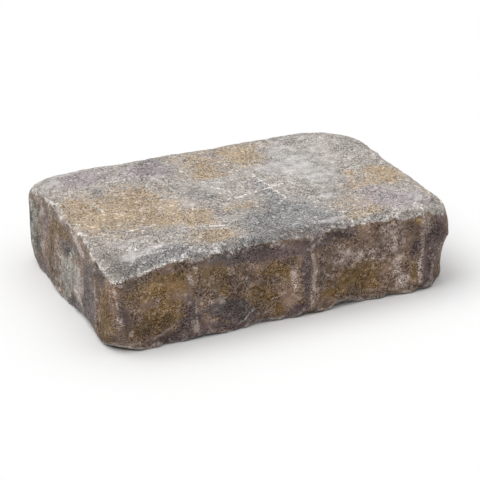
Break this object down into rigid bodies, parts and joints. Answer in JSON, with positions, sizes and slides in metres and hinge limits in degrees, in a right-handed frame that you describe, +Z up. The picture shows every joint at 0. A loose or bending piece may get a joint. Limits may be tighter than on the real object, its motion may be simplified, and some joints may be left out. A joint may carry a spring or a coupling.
{
  "type": "concrete paver",
  "caption": "Oblong tumbled concrete paver with narrow upright spacer ribs on its walls, worn edges and chipped corners, laid flat on a bed as paving.",
  "frame": {"origin": "middle of the bed face, on the ground the paver lies on", "axes": "+X along the paver's length, towards its right in the picture; +Z up through its thickness; the front wall faces -Y"},
  "size_m": [0.2324, 0.1554, 0.057],
  "materials": {
    "concrete": "tumbled, granular, colour-blended grey, ochre and umber"
  },
  "bodies": {
    "root": {"paver": "concrete"}
  },
  "joints": []
}
